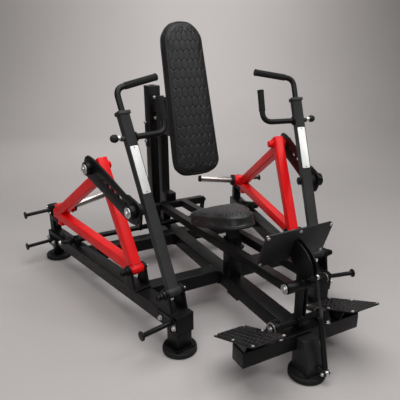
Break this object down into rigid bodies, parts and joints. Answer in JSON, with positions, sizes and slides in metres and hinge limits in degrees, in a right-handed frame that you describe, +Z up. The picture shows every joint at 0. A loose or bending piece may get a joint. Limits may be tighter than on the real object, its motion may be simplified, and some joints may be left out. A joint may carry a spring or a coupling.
{
  "type": "chest press machine",
  "caption": "Plate-loaded seated chest press with toed-in side rails, linked press and weight arms, quilted back pad and seat, and a foot lever that lifts the arms.",
  "frame": {"origin": "centre of the machine's bounding box, on the floor", "axes": "+Z up, -Y towards the front where the foot lever is, +X to the right hand of someone who stands before the machine and looks at its front"},
  "size_m": [2.0178, 2.1068, 1.6388],
  "materials": {
    "black_paint": "satin powder coat",
    "grey_paint": "satin powder coat",
    "red_paint": "semi-gloss powder coat",
    "chrome": "polished",
    "bright_steel": "bright",
    "rubber": "matt",
    "pad_cover": "soft grain, quilted",
    "seat_cover": "soft grain, quilted"
  },
  "bodies": {
    "base": {"spine": "black_paint", "side_rail_right": "black_paint", "front_disc_right": "rubber", "rear_disc_right": "rubber", "front_peg_right": "black_paint", "rear_peg_upper_right": "black_paint", "rear_peg_lower_right": "black_paint", "arm_clevis_right": "black_paint", "weight_clevis_right": "black_paint", "front_cross_right": "black_paint", "rear_cross_right": "black_paint", "rocker_bearing_right": "black_paint", "side_rail_left": "black_paint", "front_disc_left": "rubber", "rear_disc_left": "rubber", "front_peg_left": "black_paint", "rear_peg_upper_left": "black_paint", "rear_peg_lower_left": "black_paint", "arm_clevis_left": "black_paint", "weight_clevis_left": "black_paint", "front_cross_left": "black_paint", "rear_cross_left": "black_paint", "rocker_bearing_left": "black_paint", "column": "black_paint", "back_pad": "pad_cover", "pad_post": "black_paint", "seat_sleeve": "black_paint", "foot_beam": "black_paint", "front_leg": "grey_paint", "front_disc_middle": "rubber", "rear_disc_middle": "rubber", "foot_plate_right": "grey_paint", "foot_plate_left": "grey_paint", "lever_bearing_right": "black_paint", "lever_bearing_left": "black_paint"},
    "weight_arm_right": {"weight_arm_right": "red_paint", "weight_sleeve_right": "chrome", "sleeve_collar_right": "rubber"},
    "press_arm_right": {"press_arm_right": "grey_paint", "upper_handle_right": "black_paint"},
    "link_right": {"link_plate_right": "black_paint"},
    "lower_handle_right": {"lower_handle_right": "black_paint"},
    "pull_pin_right": {"pull_pin_right": "rubber"},
    "weight_arm_left": {"weight_arm_left": "red_paint", "weight_sleeve_left": "chrome", "sleeve_collar_left": "rubber"},
    "press_arm_left": {"press_arm_left": "grey_paint", "upper_handle_left": "black_paint"},
    "link_left": {"link_plate_left": "black_paint"},
    "lower_handle_left": {"lower_handle_left": "black_paint"},
    "pull_pin_left": {"pull_pin_left": "rubber"},
    "seat": {"seat_post": "grey_paint", "seat_cushion": "seat_cover"},
    "seat_pin": {"seat_pin": "rubber"},
    "foot_lever": {"foot_lever": "black_paint", "push_plate": "grey_paint"},
    "push_frame": {"push_frame": "black_paint"},
    "rocker": {"rocker": "black_paint"},
    "strut_cylinder": {"strut_cylinder": "black_paint"},
    "strut_rod": {"strut_rod": "bright_steel"}
  },
  "joints": [
    {"name": "weight_arm_swing_right", "type": "hinge", "parent": "base", "child": "weight_arm_right", "pos_m": [0.54732, -0.11706, 0.32], "axis": [0.9763, -0.2164, 0], "range_deg": [0, 30]},
    {"name": "press_arm_swing_right", "type": "hinge", "parent": "base", "child": "press_arm_right", "pos_m": [0.467, -0.44239, 0.318], "axis": [0.9763, -0.2164, 0], "range_deg": [0, 39.2]},
    {"name": "link_swing_right", "type": "hinge", "parent": "weight_arm_right", "child": "link_right", "pos_m": [0.6693, 0.18366, 0.85], "axis": [0.9763, -0.2164, 0], "range_deg": [-25.2, 0]},
    {"name": "lower_handle_swivel_right", "type": "hinge", "parent": "press_arm_right", "child": "lower_handle_right", "pos_m": [0.53904, -0.11742, 1.05864], "axis": [0.9763, -0.2164, 0], "range_deg": [-45, 45]},
    {"name": "pull_pin_slide_right", "type": "slide", "parent": "press_arm_right", "child": "pull_pin_right", "axis": [0.9763, -0.2164, 0], "range_m": [0, 0.008], "stiffness_N_per_m": 600, "springref_m": -0.01},
    {"name": "weight_arm_swing_left", "type": "hinge", "parent": "base", "child": "weight_arm_left", "pos_m": [-0.54732, -0.11706, 0.32], "axis": [0.9763, 0.2164, 0], "range_deg": [0, 30]},
    {"name": "press_arm_swing_left", "type": "hinge", "parent": "base", "child": "press_arm_left", "pos_m": [-0.467, -0.44239, 0.318], "axis": [0.9763, 0.2164, 0], "range_deg": [0, 39.2]},
    {"name": "link_swing_left", "type": "hinge", "parent": "weight_arm_left", "child": "link_left", "pos_m": [-0.6693, 0.18366, 0.85], "axis": [0.9763, 0.2164, 0], "range_deg": [-25.2, 0]},
    {"name": "lower_handle_swivel_left", "type": "hinge", "parent": "press_arm_left", "child": "lower_handle_left", "pos_m": [-0.53904, -0.11742, 1.05864], "axis": [0.9763, 0.2164, 0], "range_deg": [-45, 45]},
    {"name": "pull_pin_slide_left", "type": "slide", "parent": "press_arm_left", "child": "pull_pin_left", "axis": [-0.9763, -0.2164, 0], "range_m": [0, 0.008], "stiffness_N_per_m": 600, "springref_m": -0.01},
    {"name": "seat_height", "type": "slide", "parent": "base", "child": "seat", "axis": [0, 0, 1], "range_m": [0, 0.12]},
    {"name": "seat_pin_slide", "type": "slide", "parent": "base", "child": "seat_pin", "axis": [0, -1, 0], "range_m": [0, 0.008], "stiffness_N_per_m": 600, "springref_m": -0.01},
    {"name": "foot_lever_swing", "type": "hinge", "parent": "base", "child": "foot_lever", "pos_m": [0, -0.86439, 0.254], "axis": [1, 0, 0], "range_deg": [0, 13]},
    {"name": "push_frame_swing", "type": "hinge", "parent": "foot_lever", "child": "push_frame", "pos_m": [0, -0.88939, 0.462], "axis": [1, 0, 0], "range_deg": [-13.6, 0]},
    {"name": "rocker_swing", "type": "hinge", "parent": "base", "child": "rocker", "pos_m": [0, 0.62561, 0.246], "axis": [1, 0, 0], "range_deg": [0, 19.2]},
    {"name": "strut_swing", "type": "hinge", "parent": "base", "child": "strut_cylinder", "pos_m": [0.03, -1.03939, 0.058], "axis": [1, 0, 0], "range_deg": [0, 7]},
    {"name": "strut_stroke", "type": "slide", "parent": "strut_cylinder", "child": "strut_rod", "axis": [0, 0.2272, 0.9738], "range_m": [-0.033, 0], "stiffness_N_per_m": 300, "springref_m": 0.6}
  ],
  "couplings": [
    {"joint": "press_arm_swing_right", "follows": "weight_arm_swing_right", "ratio": 1.287},
    {"joint": "link_swing_right", "follows": "weight_arm_swing_right", "ratio": -0.825},
    {"joint": "press_arm_swing_left", "follows": "weight_arm_swing_left", "ratio": 1.287},
    {"joint": "link_swing_left", "follows": "weight_arm_swing_left", "ratio": -0.825},
    {"joint": "push_frame_swing", "follows": "foot_lever_swing", "ratio": -1.0275},
    {"joint": "rocker_swing", "follows": "foot_lever_swing", "ratio": 1.45},
    {"joint": "strut_swing", "follows": "foot_lever_swing", "ratio": 0.501},
    {"joint": "strut_stroke", "follows": "foot_lever_swing", "m_per_rad": -0.1367}
  ]
}
